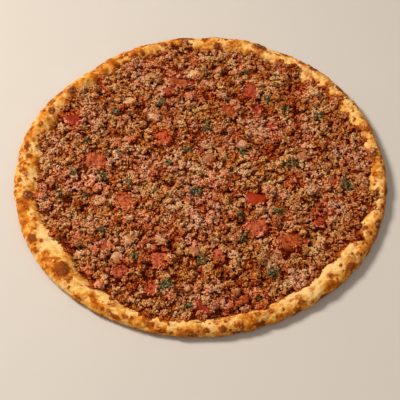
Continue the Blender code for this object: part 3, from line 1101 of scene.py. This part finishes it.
def strandShape(seed):
    # a short curled strand of uneven thickness, 1 in radius and about 2.5 to 3.5 long from its middle
    body, shift = mappedCube(2), shiftOf(seed)
    long = [edge for edge in body.edges if abs(edge.verts[0].co.x - edge.verts[1].co.x) > 1]
    bmesh.ops.subdivide_edges(body, edges=long, cuts=3, use_grid_fill=True)
    half, curl = 2.3 + 0.35 * (seed % 4), 0.14 + 0.13 * (seed % 4)
    for corner in body.verts:
        along = corner.co.x
        thick = (0.8 - 0.3 * along ** 4) * (1 + 0.55 * noise.noise(Vector((along * 2.1, 0, 0)) + shift))
        side = thick * (1 + 0.45 * noise.noise(corner.co * 1.3 + shift))
        radius = 1 / curl + corner.co.y * side
        turn = curl * along * half
        lift = corner.co.z * side + 0.6 * noise.noise(Vector((along * 1.3, 5, 0)) + shift)
        corner.co = (radius * math.sin(turn), radius * math.cos(turn) - 1 / curl, lift)
    return shapeOf(body)


def crumbShapes(kind):
    seeds = range(crumbs["shapes"])
    if kind in crumbs["lumps"]:
        first, cuts, longer, craggy, bend = crumbs["lumps"][kind]
        return [lumpShape(seed + first, cuts, 1 + longer * (seed % 3), crumbs["rough"], craggy,
                          bend * (seed % 2)) for seed in seeds]
    shape = grainShape if kind == "fine" else strandShape
    return [shape(seed) for seed in seeds]


def waves(flat, name):
    # one value for each crumb, from noise across the pile and its own chance
    mean, parts, chance = crumbLook[name]
    total = mean + sum(size * noiseAt(flat, lumps, shift) for lumps, size, shift in parts)
    return total + draw.normal(0, chance, len(flat)) if chance else total


def sunkBelow(heights, places, limits):
    # painted shade for a place sunk below the mean height round it; 0 where it stands proud
    return graded(readMap(heights, places[:, 0], places[:, 1]) - places[:, 2], *limits)


def makeCrumbs():
    look = crumbMaterial()
    for kind in ("coarse", "medium", "strands_a", "strands_b", "fine", "strands_c"):
        lot = fallen[kind]
        count = len(lot)
        scales = draw.uniform(0.78, 1.18, (count, 3))
        turns = randomTurns(count, 0.3 if "strands" in kind else 1)
        mesh, step = joinCopies("mince_" + kind, crumbShapes(kind), lot, turns, scales)
        flat, x, y = lot[:, :3] * (1, 1, 0), lot[:, 0], lot[:, 1]
        tone, warm, cool = (waves(flat, name) for name in ("tone", "warm", "cool"))
        angle = np.arctan2(y, x)
        foot = around(rimOuter, angle) - around(rimWidth, angle)
        tone -= graded(np.hypot(x, y) - foot, *crumbLook["onRim"])
        # painted shade: crumbs in the low places between clumps are darker
        tone -= crumbLook["shadeInHollow"] * hollows(flat)
        warm += graded(readMap(juice, x, y), *crumbLook["juicy"])
        carryEach(mesh, "tone", tone, step)
        carryEach(mesh, "warm", np.clip(warm, 0, 1), step)
        carryEach(mesh, "cool", np.clip(cool, 0, 1), step)
        places = placesOf(mesh)
        # painted shade: darker in crevices below the mean height round them and on faces that look down,
        # paler on faces that look up
        sunk = sunkBelow(nearMap, places, crumbLook["shadeBelowNear"])
        sunk += sunkBelow(wideMap, places, crumbLook["shadeBelowWide"])
        carry(mesh, "sunk", sunk + crumbLook["underside"] * (0.6 - normalsOf(mesh)[:, 2]))
        addPiece("mince_" + kind, mesh, look, "browned_mince", "meat_layer")
        print("crumbs:", kind, count, "of", int(len(mesh.loops) - 2 * len(mesh.polygons)), "triangles")


makeCrumbs()


bits = {
    "shapes": 10,
    "rough": 0.5,
    "craggy": 0.25,
    "bend": 0.12,
    "flat": {"tomato": 0.7, "onion": 0.6},
}


def makeBits(kind):
    # the small bits of tomato or onion among the crumbs
    name = kind + "_bits"
    lot = fallen[name]
    count = len(lot)
    shapes = [lumpShape(seed + 70, 2, 1.15 + 0.2 * (seed % 3), bits["rough"], bits["craggy"], bits["bend"])
              for seed in range(bits["shapes"])]
    scales = draw.uniform(0.8, 1.2, (count, 3)) * (1, 1, bits["flat"][kind])
    mesh, step = joinCopies(name, shapes, lot, randomTurns(count, 0.3), scales)
    for value in ("orange", "pulp", "pale"):
        carryEach(mesh, value, draw.uniform(0, 1, count), step)
    addPiece(name, mesh, looks[kind], kind)
    print(name, count)


makeBits("tomato")
makeBits("onion")


parsley = {
    # sprigs: x, y, size across, all mm, and how green, from 0 to 1
    "sprigs": [
        (-4.3, -19.2, 12, 0.9), (-78.9, -7.5, 11, 0.9), (-90.7, -24.5, 7, 0.8), (-111.4, -24.5, 7, 0.8),
        (36.3, 21.3, 9, 0.8), (73.6, 6.4, 9, 0.5), (5.3, 45.9, 9, 0.5), (-27.7, 8.5, 8, 0.3),
        (-92.8, 30.9, 8, 0.4), (34.1, -65.1, 10, 0.6), (59.7, -41.6, 9, 0.3), (30.5, -44.8, 8, 0.4),
        (-25.6, -108.8, 12, 0.7), (-50.1, -83.2, 10, 0.4), (-75.7, -58.7, 8, 0.3), (1.1, -84.3, 9, 0.4),
        (-8.5, -126.9, 7, 0.9), (54.4, -98.1, 10, 0.4), (115.2, -14.9, 12, 0.5), (38.4, 106.7, 10, 0.4),
        (-10.7, 21.3, 8, 0.5), (-66.1, 19.2, 7, 0.4), (-34.1, 71.5, 9, 0.4), (-71.5, 60.8, 8, 0.3),
        (99.2, 55.5, 9, 0.5), (-57.6, -13.9, 7, 0.4), (-103.5, -3.2, 7, 0.4), (70.4, 66.1, 8, 0.3),
        (4.3, 107.7, 7, 0.4), (57.6, 76.8, 8, 0.4)],
    "leaflets": 11,  # in a sprig 10 mm across
    "leafRadius": 2.1,  # mm
    "leafSizes": (0.7, 1.25),  # smallest and largest, in usual radii
    "loose": 0.42,  # how far from its middle a sprig reaches, in sprigs across
    "greenChance": 0.15,  # how much single leaflets differ
    "leafShapes": 12,
    "fleckShapes": 10,
    "fleck": (1.4, 0.6, 0.5, 0.3),  # how long, rough, craggy and bent a fleck is
    "colours": {"olive": (0.085, 0.038, 0.004), "green": (0.04, 0.043, 0.004), "leafHighlight": (0.42, 0.34, 0.15)},
}


def leafShape(seed):
    # a thin crinkled leaf about 1 in radius
    body, shift = mappedCube(2), Vector((seed * 5.1, seed * 2.3, seed * 3.7))
    bmesh.ops.subdivide_edges(body, edges=body.edges, cuts=2, use_grid_fill=True)
    for corner in body.verts:
        flat = corner.co.xy
        way = flat.normalized() if flat.length > 0.1 else flat
        lobes = 0.8 + 0.45 * noise.noise(way.to_3d() * 1.8 + shift)
        spread = max(abs(flat.x), abs(flat.y)) * lobes
        place = way * spread
        ripple = 0.75 * noise.noise(Vector((place.x, place.y, 0)) * 1.6 + shift)
        corner.co = (place.x, place.y, 0.1 * corner.co.z * (1.15 - 0.8 * spread) + ripple)
    return shapeOf(body)


def parsleyMaterial():
    material, shader, wire = newMaterial("choppedParsley", {"Specular IOR Level": 0.2})
    colours = parsley["colours"]
    green, leafHighlight, fine = wire.value("green"), wire.spots(700, 3), wire.spots(1900, 2)
    colour = green.between(0, 1).mix(colours["olive"], colours["green"])
    # painted highlight: pale olive spots over the leaves
    colour = (leafHighlight * 0.5 + fine * 0.5).between(0.5, 0.6).mix(colour, colours["leafHighlight"])
    plug(shader, Base_Color=colour, Roughness=0.36 + fine * 0.2, Normal=wire.bump(fine, 0.3 * mm, 0.6))
    return material


def makeSprigs(look):
    # each sprig is a loose tuft of leaflets, laid on the finished pile
    leaves, greens = [], []
    for x, y, across, green in parsley["sprigs"]:
        for _ in range(int(parsley["leaflets"] * (across / 10) ** 2) + 2):
            turn = draw.uniform(0, 2 * math.pi)
            away = parsley["loose"] * across * mm * draw.uniform(0, 1) ** 0.7
            radius = parsley["leafRadius"] * mm * draw.uniform(*parsley["leafSizes"])
            px, py = x * mm + away * math.cos(turn), y * mm + away * math.sin(turn)
            leaves.append((*settle(px, py, radius, 0.25 * radius), radius))
            greens.append(green + draw.normal(0, parsley["greenChance"]))
    lot, count = np.array(leaves), len(leaves)
    shapes = [leafShape(seed) for seed in range(parsley["leafShapes"])]
    even = np.ones((count, 3))
    mesh, step = joinCopies("parsley_sprigs", shapes, lot, randomTurns(count, 0.45), even, squash=1)
    carryEach(mesh, "green", greens, step)
    addPiece("parsley_sprigs", mesh, look, "parsley")
    print("parsley:", len(parsley["sprigs"]), "sprigs of", count, "leaflets")


def makeFlecks(look):
    lot, count = fallen["herbs"], len(fallen["herbs"])
    shapes = [lumpShape(seed + 90, 1, *parsley["fleck"]) for seed in range(parsley["fleckShapes"])]
    thin = np.tile((1, 1, 0.35), (count, 1))
    mesh, step = joinCopies("herb_flecks", shapes, lot, randomTurns(count, 0.5), thin)
    carryEach(mesh, "green", draw.uniform(0, 0.8, count), step)
    addPiece("herb_flecks", mesh, look, "parsley")
    print("herb flecks:", count)


parsleyLook = parsleyMaterial()
makeSprigs(parsleyLook)
makeFlecks(parsleyLook)
